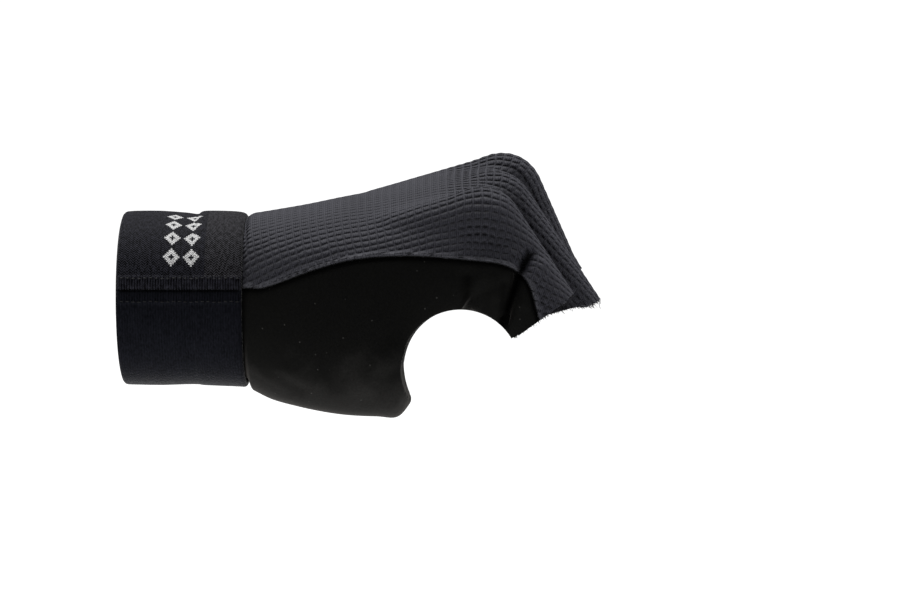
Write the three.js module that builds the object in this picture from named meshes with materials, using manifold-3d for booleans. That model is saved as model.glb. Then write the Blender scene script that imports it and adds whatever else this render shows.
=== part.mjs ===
// Right-hand fingerless cycling glove, in the rounded and closed form that it has in use.
// Millimetres. +X runs from the cuff to the knuckles, +Y to the thumb and +Z to the glove's back.
// The origin is the middle of the wrist opening.
import * as THREE from "three";
import { mergeVertices } from "three/addons/utils/BufferGeometryUtils.js";
import Module from "manifold-3d";

const wasm = await Module();
wasm.setup();

// Driving sizes
const cuffLength = 35; // from the wrist opening to the cuff's front edge
const cuffWall = 2; // knitted elastic, doubled
const clothWall = 1.3; // the panels in front of the cuff
const seamGap = 0.3; // between two pieces that are sewn together
const tuckLength = 12; // how far the panels reach inside the cuff
const openingWidth = 66; // over the cuff, at the wrist opening
const openingDepth = 50;
const cuffSeamHeight = 1.9; // of the cuff's side seams above the origin
const turnedWidth = 3.6; // of the cloth turned under on each side of a cuff seam
const turnedRise = 0.5; // what the turned cloth adds
const bodyReach = 77; // from the cuff's front edge to the roots of the finger stalls
const bodyWidth = 84; // across the knuckles
const backRise = 42; // of the highest knuckle above the origin
const palmDrop = 34; // of the heel of the palm below the origin
const fingerDepth = 25; // of the thickest finger stall at its knuckle
const thumbDepth = 29; // of the thumb stall at its joint
const gripRadius = 16.5; // of the round hollow that the closed palm leaves
const ridgeLength = 24; // of the ridge behind a knuckle
const palmHollow = 3.5; // depth of the dip between the palm's two pads
const foldDepth = 1; // of the deepest fold in the side

// Numbers of facets
const aroundBody = 40;
const aroundBodyInside = 30;
const aroundFinger = 16;
const aroundFingerInside = 12;
const ringsPerRow = 3;
const ringsPerRowInside = 1;
const domeRings = 3;

const halfWidth = bodyWidth / 2;
const bodyStart = cuffLength;
const sharpness = 2.3; // of the body's rounded sections: 2 is an ellipse
const wristSharpness = 2.1;
const openPast = 6; // how far a hollow runs past the cloth's edge
const farAway = 4 * bodyWidth; // further than any cloth reaches

// In the tables a pair is for the little finger's side and then the thumb's, or for a start and then an end.
const cuffOutline = [
  // at: share of the cuff's length. wide: share of the opening's width. up, down: of its depth
  { at: 0, wide: 1, up: 0.975, down: 0.998 },
  { at: 0.1, wide: 1.004, up: 0.985, down: 1.002 },
  { at: 0.3, wide: 1, up: 0.985, down: 1.006 },
  { at: 0.5, wide: 0.985, up: 0.965, down: 0.998 },
  { at: 0.6, wide: 0.975, up: 0.95, down: 0.998 },
  { at: 0.66, wide: 0.996, up: 0.985, down: 1.008 },
  { at: 0.9, wide: 1.004, up: 0.98, down: 1.022 },
  { at: 1, wide: 0.99, up: 0.955, down: 1.03 },
];

const bodySections = [
  // at: share of the body's reach. tilt: degrees forward. lift, up: the height of the section's middle, and of
  // the back above it, as shares of the back's rise. side: shares of half the width. down: shares of the palm's
  // drop. hollow: share of the palm's hollow
  { at: 0.02, tilt: 0, lift: 0, up: [0.57, 0.57], side: [0.77, 0.76], down: [0.79, 0.77], hollow: 0 },
  { at: 0.104, tilt: 0, lift: 0, up: [0.59, 0.6], side: [0.84, 0.81], down: [0.92, 0.85], hollow: 0.2 },
  { at: 0.221, tilt: 0, lift: 0, up: [0.62, 0.645], side: [0.92, 0.89], down: [1.07, 0.9], hollow: 0.7 },
  { at: 0.351, tilt: 0, lift: 0, up: [0.65, 0.715], side: [0.97, 0.95], down: [1.16, 0.94], hollow: 1 },
  { at: 0.481, tilt: 0, lift: 0, up: [0.665, 0.79], side: [0.995, 0.976], down: [1.18, 0.95], hollow: 1 },
  { at: 0.584, tilt: 2, lift: 0.048, up: [0.65, 0.81], side: [1, 0.98], down: [1.2, 1], hollow: 0.7 },
  { at: 0.714, tilt: 10, lift: 0.143, up: [0.61, 0.8], side: [1.005, 0.99], down: [0.95, 0.9], hollow: 0 },
  { at: 0.844, tilt: 22, lift: 0.19, up: [0.52, 0.83], side: [1.01, 0.99], down: [0.75, 0.75], hollow: 0 },
  { at: 0.92, tilt: 38, lift: 0.2, up: [0.32, 0.55], side: [1.01, 0.98], down: [0.62, 0.62], hollow: 0 },
  { at: 1.013, tilt: 50, lift: 0.09, up: [0.2, 0.36], side: [0.98, 0.95], down: [0.48, 0.48], hollow: 0 },
];

const fingers = [
  // From the little finger's stall to the index finger's, each from its knuckle to its open end. across: share
  // of half the width. at: shares of the reach. lift: shares of the back's rise. size: of the finger depth
  { across: -0.748, at: [0.857, 1.097], lift: [0.452, -0.143], size: [0.96, 0.832] },
  { across: -0.25, at: [0.903, 1.172], lift: [0.575, -0.165], size: [0.96, 0.864] },
  { across: 0.248, at: [0.918, 1.172], lift: [0.7, -0.19], size: [1, 0.88] },
  { across: 0.745, at: [0.888, 1.135], lift: [0.69, 0.05], size: [0.976, 0.896] },
];
const stallWidthShare = 0.243; // of the body's width
const fingerTaper = 0.97; // of a finger's width at its open end
const ridgeDrop = 0.3; // of the ridge's length
const ridgeShares = { start: 0.84, tail: 0.5 }; // of the knuckle's size

const thumbJoints = [
  // at: share of the reach. across: of half the width. lift: of the back's rise. size: of the thumb depth
  { at: 0.3, across: 0.5, lift: -0.2, size: 1.08 },
  { at: 0.46, across: 0.9, lift: -0.17, size: 0.98 },
  { at: 0.63, across: 1.3, lift: 0.1, size: 0.8 },
];
const thumbSeamReach = 2.5; // from the thumb's root out to its seam

// The middle of the round hollow. at: share of the reach. drop: share of the palm's drop
const gripAxis = { at: 0.788, drop: 0.591 };

const sideSeam = [
  // at: share of the reach. lift: share of the back's rise
  { at: -0.3, lift: 0.05 },
  { at: 0, lift: 0.052 },
  { at: 0.09, lift: 0.057 },
  { at: 0.26, lift: 0.167 },
  { at: 0.416, lift: 0.24 },
  { at: 0.61, lift: 0.26 },
  { at: 0.818, lift: 0.233 },
  { at: 0.948, lift: 0.198 },
];
const fingerSeam = [
  // along: share of the finger from knuckle to end. toBack: share of the finger depth towards its back
  { along: 0.62, toBack: 0.02 },
  { along: 1, toBack: -0.15 },
  { along: 1.5, toBack: -0.35 },
];

const sideFolds = [
  // Folds down the little finger's side. at, width: shares of the reach. top, foot: shares of the back's rise.
  // depth: share of the fold depth, and less than nothing for a ridge
  { at: 0.81, top: 0.24, foot: -0.3, width: 0.024, depth: 1 },
  { at: 0.862, top: 0.22, foot: -0.3, width: 0.03, depth: -0.6 },
  { at: 0.93, top: 0.2, foot: -0.4, width: 0.026, depth: 0.8 },
  { at: 0.5, top: -0.5, foot: -1, width: 0.05, depth: -0.6 },
];
const foldFade = { from: 0.3, to: 0.9 }; // of half the width, where the folds set in

// A closed surface from its points and triangles, as a solid that can be joined and cut.
const asSolid = (points, triangles) => {
  const mesh = new wasm.Mesh({
    numProp: 3,
    vertProperties: new Float32Array(points.flatMap((p) => p.toArray())),
    triVerts: new Uint32Array(triangles),
  });
  return new wasm.Manifold(mesh);
};

// A solid through rings of points that all turn anticlockwise about the way from the first to the last.
const loft = (rings, endTriangles) => {
  const count = rings[0].length;
  const triangles = [];
  for (let r = 0; r + 1 < rings.length; r++) {
    for (let i = 0; i < count; i++) {
      const a = r * count + i;
      const b = r * count + ((i + 1) % count);
      triangles.push(a, b, b + count, a, b + count, a + count);
    }
  }
  const lastRing = (rings.length - 1) * count;
  for (const [a, b, c] of endTriangles(rings[0])) triangles.push(c, b, a);
  const lastEnd = endTriangles(rings.at(-1)).flat();
  triangles.push(...lastEnd.map((corner) => lastRing + corner));
  return asSolid(rings.flat(), triangles);
};

const fanTriangles = (ring) => Array.from({ length: ring.length - 2 }, (_, i) => [0, i + 1, i + 2]);

// Facets: fine outside and coarse inside, where inset is more than nothing.
const facets = (inset) =>
  inset > 0
    ? { body: aroundBodyInside, finger: aroundFingerInside, perRow: ringsPerRowInside }
    : { body: aroundBody, finger: aroundFinger, perRow: ringsPerRow };

const evenAngles = (count) => Array.from({ length: count }, (_, i) => (2 * Math.PI * i) / count);

const roundedPower = (value, power) => Math.sign(value) * Math.abs(value) ** power;

// One section of the body or the wrist, in the upright plane at x, leaning forward by its tilt.
const sectionRing = (s, count) =>
  evenAngles(count).map((angle) => {
    const across = Math.cos(angle);
    const upward = Math.sin(angle);
    const [near, far] = s.side;
    const y = (across > 0 ? far : near) * roundedPower(across, 2 / s.sharp);
    const share = (y + near) / (near + far);
    const height = THREE.MathUtils.lerp(...(upward > 0 ? s.up : s.down), share);
    const dip = upward < 0 ? s.hollow * (upward * Math.sin(share * Math.PI)) ** 2 : 0;
    const v = height * roundedPower(upward, 2 / s.sharp) + dip;
    const spread = 1 + s.rise(s.x, y, s.z + v) / Math.hypot(y, v);
    const lean = THREE.MathUtils.degToRad(s.tilt);
    const forward = v * spread * Math.sin(lean);
    return new THREE.Vector3(s.x + forward, y * spread, s.z + v * spread * Math.cos(lean));
  });

// The table's rows with smooth steps between them.
const smoothRows = (rows, steps) => {
  const places = rows.map((_, i) => i);
  const values = rows.flatMap((row) => Object.values(row).flat());
  const width = values.length / rows.length;
  const spline = new THREE.CubicInterpolant(places, values, width, new Float32Array(width));
  return Array.from({ length: (rows.length - 1) * steps + 1 }, (_, i) => {
    const found = [...spline.evaluate(i / steps)];
    const take = (value) => (Array.isArray(value) ? value.map(() => found.shift()) : found.shift());
    return Object.fromEntries(Object.entries(rows[0]).map(([name, value]) => [name, take(value)]));
  });
};

const reachX = (share) => bodyStart + share * bodyReach;

const bell = (value, width) => Math.exp(-((value / width) ** 2));

// What the folds add to the little finger's side at a point.
const foldRise = (x, y, z) =>
  sideFolds.reduce((sum, fold) => {
    const middle = ((fold.top + fold.foot) / 2) * backRise;
    const half = ((fold.top - fold.foot) / 2) * backRise;
    const fade = THREE.MathUtils.smoothstep(-y, foldFade.from * halfWidth, foldFade.to * halfWidth);
    const shape = bell(x - reachX(fold.at), fold.width * bodyReach) * bell(z - middle, half);
    return sum - fold.depth * foldDepth * shape * fade;
  }, 0);

const wristHalfWidth = openingWidth / 2 - cuffWall - seamGap;
const wristHalfDepth = openingDepth / 2 - cuffWall - seamGap;

const wristSection = (x, inset) => ({
  x,
  z: 0,
  tilt: 0,
  side: [wristHalfWidth - inset, wristHalfWidth - inset],
  up: [wristHalfDepth - inset, wristHalfDepth - inset],
  down: [wristHalfDepth - inset, wristHalfDepth - inset],
  hollow: 0,
  sharp: wristSharpness,
  rise: () => 0,
});

// The body without its stalls. inset is nothing for the outside and the cloth's wall for the inside.
const bodySolid = (inset) => {
  const rows = smoothRows(bodySections, facets(inset).perRow).map((row) => ({
    x: reachX(row.at),
    z: row.lift * backRise,
    tilt: row.tilt,
    side: row.side.map((share) => share * halfWidth - inset),
    up: row.up.map((share) => share * backRise - inset),
    down: row.down.map((share) => share * palmDrop - inset),
    hollow: row.hollow * palmHollow,
    sharp: sharpness,
    rise: foldRise,
  }));
  const last = rows.at(-1);
  const lean = THREE.MathUtils.degToRad(last.tilt);
  last.x -= inset * Math.cos(lean);
  last.z += inset * Math.sin(lean);
  const start = bodyStart - tuckLength - (inset > 0 ? openPast : 0);
  const sections = [wristSection(start, inset), wristSection(bodyStart, inset), ...rows];
  const rings = sections.map((section) => sectionRing(section, facets(inset).body));
  return loft(rings, fanTriangles);
};

// A tapered rod with oval sections, with a dome or a flat face at each end.
const taper = (from, to, start, end, { flatEnd = false, count = aroundFinger } = {}) => {
  const along = to.clone().sub(from);
  const length = along.length();
  along.normalize();
  const wide = new THREE.Vector3(0, 0, 1).cross(along).normalize();
  const deep = along.clone().cross(wide);
  const ring = (travel, size, shrink) =>
    evenAngles(count).map((angle) =>
      from
        .clone()
        .addScaledVector(along, travel)
        .addScaledVector(wide, Math.cos(angle) * size.wide * shrink)
        .addScaledVector(deep, Math.sin(angle) * size.deep * shrink),
    );
  const turns = Array.from({ length: domeRings - 1 }, (_, i) => ((i + 1) / domeRings) * (Math.PI / 2));
  const startDome = turns.map((turn) => ring(-start.deep * Math.cos(turn), start, Math.sin(turn)));
  const endDome = turns.map((turn) => ring(length + end.deep * Math.sin(turn), end, Math.cos(turn)));
  const rings = [...startDome, ring(0, start, 1), ring(length, end, 1), ...(flatEnd ? [] : endDome)];
  return loft(rings, fanTriangles);
};

const bodyPoint = (at, across, lift) => new THREE.Vector3(reachX(at), across * halfWidth, lift * backRise);

const fingerLine = (finger) => {
  const [knuckle, end] = finger.at.map((at, i) => bodyPoint(at, finger.across, finger.lift[i]));
  const along = end.clone().sub(knuckle).normalize();
  return { knuckle, end, along };
};

// A finger stall, and the ridge behind its knuckle.
const fingerSolids = (finger, inset) => {
  const { knuckle, end, along } = fingerLine(finger);
  const wide = (stallWidthShare * bodyWidth) / 2 - inset;
  const [start, close] = finger.size.map((size) => ({ wide, deep: (size * fingerDepth) / 2 - inset }));
  close.wide *= fingerTaper;
  const ridge = { wide: wide * ridgeShares.start, deep: start.deep * ridgeShares.start };
  const tail = { wide: wide * ridgeShares.tail, deep: start.deep * ridgeShares.tail };
  const tip = end.clone().addScaledVector(along, inset > 0 ? openPast : 0);
  const ridgeEnd = knuckle.clone().add(new THREE.Vector3(-ridgeLength, 0, -ridgeLength * ridgeDrop));
  const count = facets(inset).finger;
  return [
    taper(knuckle, tip, start, close, { flatEnd: true, count }),
    taper(knuckle, ridgeEnd, ridge, tail, { count }),
  ];
};

const thumbPoints = thumbJoints.map((joint) => bodyPoint(joint.at, joint.across, joint.lift));

const thumbSize = (index, inset) => {
  const radius = (thumbJoints[index].size * thumbDepth) / 2 - inset;
  return { wide: radius, deep: radius };
};

// The thumb stall, reaching past its cloth's edge by past.
const thumbSolids = (inset, past) => {
  const [base, joint, end] = thumbPoints;
  const tip = end.clone().addScaledVector(end.clone().sub(joint).normalize(), past);
  const count = facets(inset).finger;
  return [
    taper(base, joint, thumbSize(0, inset), thumbSize(1, inset), { count }),
    taper(joint, tip, thumbSize(1, inset), thumbSize(2, inset), { flatEnd: true, count }),
  ];
};

// The round hollow, along the whole width.
const gripHollow = (inset) => {
  const middle = new THREE.Vector2(reachX(gripAxis.at), -gripAxis.drop * palmDrop);
  const rings = [-farAway, farAway].map((y) =>
    evenAngles(aroundBody).map((angle) => {
      const spoke = new THREE.Vector2(gripRadius + inset, 0).rotateAround(new THREE.Vector2(), -angle);
      return new THREE.Vector3(middle.x + spoke.x, y, middle.y + spoke.y);
    }),
  );
  return loft(rings, fanTriangles);
};

const union = (solids) => solids.reduce((sum, solid) => sum.add(solid));

// The whole glove as one filled form, less the round hollow.
const gloveForm = (inset) =>
  union([
    bodySolid(inset),
    ...fingers.flatMap((finger) => fingerSolids(finger, inset)),
    ...thumbSolids(inset, inset > 0 ? openPast : 0),
  ]).subtract(gripHollow(inset));

// The triangles of a flat outline in the upright plane, turned the way that the outline turns.
const outlineTriangles = (ring) => {
  const flat = ring.map((p) => new THREE.Vector2(p.x, p.z));
  const turn = THREE.ShapeUtils.isClockWise(flat);
  const turnOf = (corners) => THREE.ShapeUtils.isClockWise(corners.map((corner) => flat[corner]));
  return THREE.ShapeUtils.triangulateShape(flat, []).map(([a, b, c]) =>
    turnOf([a, b, c]) === turn ? [a, b, c] : [a, c, b],
  );
};

// All that lies on the palm's side of the side seam, and drop further down than it.
const palmSide = (drop) => {
  const line = (y, finger) => {
    const { knuckle, end, along } = fingerLine(finger);
    const toBack = new THREE.Vector3(-along.z, 0, along.x);
    const onSide = sideSeam.map((p) => new THREE.Vector3(reachX(p.at), y, p.lift * backRise - drop));
    const onFinger = fingerSeam.map((p) => {
      const place = knuckle.clone().lerp(end, p.along);
      return place.addScaledVector(toBack, p.toBack * fingerDepth - drop).setY(y);
    });
    const top = [...onSide, ...onFinger];
    return [new THREE.Vector3(top[0].x, y, -farAway), ...top, new THREE.Vector3(top.at(-1).x, y, -farAway)];
  };
  const rings = [
    line(-farAway, fingers[0]),
    ...fingers.map((finger) => line(finger.across * halfWidth, finger)),
    line(farAway, fingers.at(-1)),
  ];
  return loft(rings, outlineTriangles);
};

const cuffRing = (row, x, inset) => {
  const wide = (row.wide * openingWidth) / 2 - inset;
  const up = (row.up * openingDepth) / 2 - inset;
  const down = (row.down * openingDepth) / 2 - inset;
  const turned = (_, y, z) => (inset > 0 ? 0 : turnedRise * bell(z - cuffSeamHeight, turnedWidth));
  const sizes = { side: [wide, wide], up: [up, up], down: [down, down], rise: turned };
  return sectionRing({ ...wristSection(x, 0), ...sizes }, aroundBody);
};

const cuffShell = () => {
  const outer = cuffOutline.map((row) => cuffRing(row, row.at * cuffLength, 0));
  const clear = { wide: 1, up: 1, down: 1 };
  const inner = [-openPast, cuffLength + openPast].map((x) => cuffRing(clear, x, cuffWall));
  return loft(outer, fanTriangles).subtract(loft(inner, fanTriangles));
};

// All that lies above a height.
const above = (height) => {
  const box = new THREE.BoxGeometry(farAway, farAway, farAway).translate(0, 0, height + farAway / 2);
  box.deleteAttribute("normal");
  box.deleteAttribute("uv");
  const merged = mergeVertices(box);
  const corners = merged.getAttribute("position");
  const cornerAt = (_, i) => new THREE.Vector3().fromBufferAttribute(corners, i);
  return asSolid(Array.from({ length: corners.count }, cornerAt), [...merged.index.array]);
};

const asMesh = (name, solid, color, roughness) => {
  const found = solid.getMesh();
  const geometry = new THREE.BufferGeometry();
  geometry.setAttribute("position", new THREE.BufferAttribute(new Float32Array(found.vertProperties), 3));
  geometry.setIndex(new THREE.BufferAttribute(new Uint32Array(found.triVerts), 1));
  geometry.computeVertexNormals();
  const mesh = new THREE.Mesh(geometry, new THREE.MeshStandardMaterial({ color, roughness, metalness: 0 }));
  mesh.name = name;
  return mesh;
};

// All that the thumb's own piece may hold, drawn in by gap.
const thumbRegion = (gap) => union(thumbSolids(gap - thumbSeamReach, openPast));

const halfGap = seamGap / 2;
const gloveShell = gloveForm(0).subtract(gloveForm(clothWall));
const withoutThumb = gloveShell.subtract(thumbRegion(-halfGap));
const cuff = cuffShell();

const cuffBackBand = cuff.intersect(above(cuffSeamHeight + halfGap));
const cuffPalmBand = cuff.subtract(above(cuffSeamHeight - halfGap));
const backPanel = withoutThumb.subtract(palmSide(-halfGap));
const palmPanel = withoutThumb.intersect(palmSide(halfGap));
const thumbStall = gloveShell.intersect(thumbRegion(halfGap));

const glove = new THREE.Group();
glove.add(
  asMesh("cuff_back_band", cuffBackBand, 0x17171a, 0.9),
  asMesh("cuff_palm_band", cuffPalmBand, 0x121319, 0.9),
  asMesh("back_panel", backPanel, 0x34343a, 0.85),
  asMesh("palm_panel", palmPanel, 0x121112, 0.95),
  asMesh("thumb_stall", thumbStall, 0x121112, 0.95),
);

export default glove;
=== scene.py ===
import math
import random

import bmesh
import bpy
import numpy as np
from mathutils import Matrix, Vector
from mathutils.bvhtree import BVHTree


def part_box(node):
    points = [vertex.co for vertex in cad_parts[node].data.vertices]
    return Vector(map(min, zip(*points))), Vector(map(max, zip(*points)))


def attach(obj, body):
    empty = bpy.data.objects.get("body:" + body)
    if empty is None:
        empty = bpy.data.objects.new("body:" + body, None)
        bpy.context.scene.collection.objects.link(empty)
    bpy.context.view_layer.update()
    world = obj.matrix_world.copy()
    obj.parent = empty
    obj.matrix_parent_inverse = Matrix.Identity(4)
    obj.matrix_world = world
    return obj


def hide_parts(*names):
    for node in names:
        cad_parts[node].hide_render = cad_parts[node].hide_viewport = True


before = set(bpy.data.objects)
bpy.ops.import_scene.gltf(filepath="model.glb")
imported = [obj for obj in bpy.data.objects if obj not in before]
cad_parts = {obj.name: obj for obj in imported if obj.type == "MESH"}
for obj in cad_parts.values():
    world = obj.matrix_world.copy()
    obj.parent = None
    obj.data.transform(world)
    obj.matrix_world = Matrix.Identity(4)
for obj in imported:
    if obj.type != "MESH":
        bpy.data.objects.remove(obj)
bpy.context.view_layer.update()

# The worn form: the rounded, closed shape that the cloth panels are stretched over. The panels are cut
# from it as from a last, and it is thrown away at the end. Lengths are in millimetres, heights above the
# middle of the wrist opening. It is lofted in mesh code, because no primitive is near its shape.
MM = 0.001
cuff_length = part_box("cuff_back_band")[1].x / MM
tuck_length = cuff_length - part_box("back_panel")[0].x / MM
body_reach = 77  # from the cuff to the front of the knuckles
half_width = 42
back_rise = 42
palm_drop = 34
finger_depth = 25
thumb_depth = 29
hollow_radius = 16.5  # the round space that the closed palm leaves
ridge_length = 36  # the soft ridge that runs back from each knuckle, with its shares of the stall's size
ridge_drop = 0.1
ridge_start = 0.98
ridge_tail = 0.45
ridge_turn = 0.14
palm_hollow = 3.5  # how far the palm is dented
wrist_half_width = 30.7
wrist_half_depth = 22.7
stall_half_width = 9.9
stall_taper = 0.97
cloth_wall = 1.0
open_past = 6  # how far the hollow inside runs out past each opening
raw_past = 7  # how far a stall runs on past its end, before the raw edge trims it
far_away = 300  # well outside the glove
body_sharpness = 2.3  # the power of the rounded sections: 2 is an ellipse
wrist_sharpness = 2.1
knuckle_softening = 45  # how far the ridges are melted, in square millimetres
outer_voxel = 0.5
inner_voxel = 1.2

# One row for each section: at, tilt, lift, up near, up far, side near, side far, down near, down far,
# hollow. Near is the little finger's side and far is the thumb's.
body_sections = [
    (0.02, 0, 0, 0.57, 0.57, 0.77, 0.76, 0.79, 0.77, 0),
    (0.104, 0, 0, 0.59, 0.6, 0.84, 0.81, 0.92, 0.85, 0.2),
    (0.221, 0, 0, 0.62, 0.645, 0.92, 0.89, 1.07, 0.9, 0.7),
    (0.351, 0, 0, 0.65, 0.715, 0.97, 0.95, 1.16, 0.94, 1),
    (0.481, 0, 0, 0.665, 0.79, 0.995, 0.976, 1.18, 0.95, 1),
    (0.584, 2, 0.048, 0.65, 0.81, 1, 0.98, 1.2, 1, 0.7),
    (0.714, 10, 0.143, 0.61, 0.83, 1.005, 0.99, 0.95, 0.9, 0),
    (0.844, 22, 0.19, 0.53, 0.87, 1.01, 0.99, 0.75, 0.75, 0),
    (0.92, 38, 0.2, 0.27, 0.45, 1.01, 0.98, 0.62, 0.62, 0),
    (1.013, 50, 0.09, 0.1, 0.14, 0.98, 0.95, 0.48, 0.48, 0),
]
# One row for each stall: across, at knuckle, at end, lift knuckle, lift end, size knuckle, size end, and
# how many millimetres longer it is on the back than on the palm, where its raw edge is cut slanting.
stalls = [
    (-0.748, 0.857, 1.088, 0.452, -0.13, 0.96, 0.822, 0),
    (-0.25, 0.903, 1.19, 0.575, -0.174, 0.96, 0.864, 8),
    (0.248, 0.938, 1.165, 0.7, -0.17, 1, 0.88, 8),
    (0.745, 0.91, 1.13, 0.69, 0.05, 0.976, 0.896, 6),
]
# The filling between each stall and the palm: its start as a share of the stall, its drop and its depth.
web_at, web_drop, web_depth = 0.35, 4.0, 12.0
# One row for each joint of the thumb stall: at, across, lift, size.
thumb_joints = [(0.3, 0.5, -0.2, 1.08), (0.46, 0.9, -0.17, 0.98), (0.63, 1.3, 0.1, 0.8)]
hollow_at, hollow_drop = 0.788, 0.591


def pick(piece):
    """Leaves one object selected and active."""
    bpy.ops.object.select_all(action="DESELECT")
    piece.select_set(True)
    bpy.context.view_layer.objects.active = piece


def finish_with(piece, kind, **settings):
    """Adds a modifier with its settings and applies it."""
    modifier = piece.modifiers.new(kind.lower(), kind)
    for name, value in settings.items():
        setattr(modifier, name, value)
    pick(piece)
    bpy.ops.object.modifier_apply(modifier=modifier.name)
    return piece


def cut(piece, tool, operation="DIFFERENCE"):
    return finish_with(piece, "BOOLEAN", object=tool, operation=operation, solver="MANIFOLD")


def smooth_rows(rows, steps):
    """The table's rows with others between them, on a smooth curve through each column."""
    rows = np.array(rows, float)
    slopes = np.gradient(rows, axis=0)
    found = []
    for i in range(len(rows) - 1):
        for t in np.arange(steps) / steps:
            near, far = 2 * t**3 - 3 * t**2 + 1, 3 * t**2 - 2 * t**3
            leave, reach = t**3 - 2 * t**2 + t, t**3 - t**2
            found.append(near * rows[i] + far * rows[i + 1] + leave * slopes[i] + reach * slopes[i + 1])
    return np.array(found + [rows[-1]])


def shell(name, rings, ends=True):
    """A closed shell over rings of points, which all have as many points. Each end gets one flat face."""
    count = len(rings[0])
    around = np.arange(count)
    step = np.roll(around, -1)
    faces = []
    for r in range(len(rings) - 1 if ends else len(rings)):
        a = r * count
        b = (r + 1) % len(rings) * count
        faces += np.stack([a + around, a + step, b + step, b + around], axis=1).tolist()
    if ends:
        faces += [around[::-1].tolist(), (around + (len(rings) - 1) * count).tolist()]
    mesh = bpy.data.meshes.new(name)
    mesh.from_pydata((np.concatenate(rings) * MM).tolist(), [], faces)
    shape = bmesh.new()
    shape.from_mesh(mesh)
    bmesh.ops.recalc_face_normals(shape, faces=shape.faces)
    shape.to_mesh(mesh)
    shape.free()
    piece = bpy.data.objects.new(name, mesh)
    bpy.context.scene.collection.objects.link(piece)
    return piece


def rounded_power(value, power):
    return np.sign(value) * np.abs(value) ** power


def section_ring(x, z, lean, up, side, down, hollow, sharp, count):
    """A rounded section in the upright plane at x, leaning forward by an angle."""
    angle = np.arange(count) * 2 * np.pi / count
    across, upward = np.cos(angle), np.sin(angle)
    y = np.where(across > 0, side[1], side[0]) * rounded_power(across, 2 / sharp)
    share = (y + side[0]) / (side[0] + side[1])
    height = np.where(upward > 0, up[0] + (up[1] - up[0]) * share, down[0] + (down[1] - down[0]) * share)
    dip = np.where(upward < 0, hollow * (upward * np.sin(share * np.pi)) ** 2, 0)
    v = height * rounded_power(upward, 2 / sharp) + dip
    return np.stack([x + v * math.sin(lean), y, z + v * math.cos(lean)], axis=1)


def reach_x(share):
    return cuff_length + share * body_reach


def body_point(at, across, lift):
    return np.array([reach_x(at), across * half_width, lift * back_rise])


def body_form(inset):
    wide, deep = wrist_half_width - inset, wrist_half_depth - inset
    start = cuff_length - tuck_length - (open_past if inset else 0)
    rings = [
        section_ring(x, 0, 0, (deep, deep), (wide, wide), (deep, deep), 0, wrist_sharpness, 160)
        for x in (start, cuff_length - 4, cuff_length)
    ]
    for row in smooth_rows(body_sections, 6):
        at, tilt, lift, *shares, hollow = row
        up, side, down = [np.array(shares[i : i + 2]) for i in (0, 2, 4)]
        sizes = up * back_rise - inset, side * half_width - inset, down * palm_drop - inset
        lean = math.radians(tilt)
        x, z = reach_x(at), lift * back_rise
        if at == body_sections[-1][0]:
            x, z = x - inset * math.cos(lean), z + inset * math.sin(lean)
        rings.append(section_ring(x, z, lean, *sizes, hollow * palm_hollow, body_sharpness, 160))
    return shell("body_form", rings)


def rod(name, start, end, start_size, end_size, flat_end=False, count=72):
    """A tapered rod with oval sections, wide and deep, and a dome at each end that isn't flat."""
    along = end - start
    length = np.linalg.norm(along)
    along = along / length
    wide = np.cross((0, 0, 1), along)
    wide = wide / np.linalg.norm(wide)
    deep = np.cross(along, wide)
    angle = np.arange(count) * 2 * np.pi / count

    def ring(travel, size, shrink):
        spread = np.outer(np.cos(angle) * size[0], wide) + np.outer(np.sin(angle) * size[1], deep)
        return start + along * travel + spread * shrink

    turns = np.linspace(0, np.pi / 2, 12)[1:-1]
    rings = [ring(-start_size[1] * math.cos(t), start_size, math.sin(t)) for t in turns]
    rings += [ring(0, start_size, 1), ring(length, end_size, 1)]
    if not flat_end:
        rings += [ring(length + end_size[1] * math.sin(t), end_size, math.cos(t)) for t in turns]
    return shell(name, rings)


def stall_line(row):
    """A stall's knuckle, its end, the way along it and the way to its back."""
    across, at_knuckle, at_end, lift_knuckle, lift_end = row[:5]
    knuckle = body_point(at_knuckle, across, lift_knuckle)
    end = body_point(at_end, across, lift_end)
    along = (end - knuckle) / np.linalg.norm(end - knuckle)
    return knuckle, end, along, np.array([-along[2], 0, along[0]])


def stall_forms(row, inset):
    knuckle, end, along, to_back = stall_line(row)
    wide = stall_half_width - inset
    start = np.array([wide, row[5] * finger_depth / 2 - inset])
    close = np.array([wide * stall_taper, row[6] * finger_depth / 2 - inset])
    tip = end + along * (open_past + raw_past if inset else raw_past)
    ridge_end = knuckle + np.array([-ridge_length, -ridge_turn * knuckle[1], -ridge_length * ridge_drop])
    web = knuckle + (end - knuckle) * web_at - to_back * web_drop
    web_size = np.array([wide, web_depth - inset])
    return [
        rod("web", web, tip, web_size, close, flat_end=True),
        rod("stall", knuckle, tip, start, close, flat_end=True),
        rod("ridge", knuckle, ridge_end, start * ridge_start, start * ridge_tail),
    ]


thumb_points = [body_point(*row[:3]) for row in thumb_joints]


def thumb_forms(inset, past):
    base, joint, end = thumb_points
    sizes = [np.array([row[3] * thumb_depth / 2 - inset] * 2) for row in thumb_joints]
    tip = end + (end - joint) / np.linalg.norm(end - joint) * past
    return [
        rod("thumb", base, joint, sizes[0], sizes[1]),
        rod("thumb", joint, tip, sizes[1], sizes[2], flat_end=True),
    ]


def discard(*pieces):
    for piece in pieces:
        bpy.data.objects.remove(piece, do_unlink=True)


def places(piece):
    """An object's points in millimetres."""
    points = np.empty(len(piece.data.vertices) * 3)
    piece.data.vertices.foreach_get("co", points)
    return points.reshape(-1, 3) / MM


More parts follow.
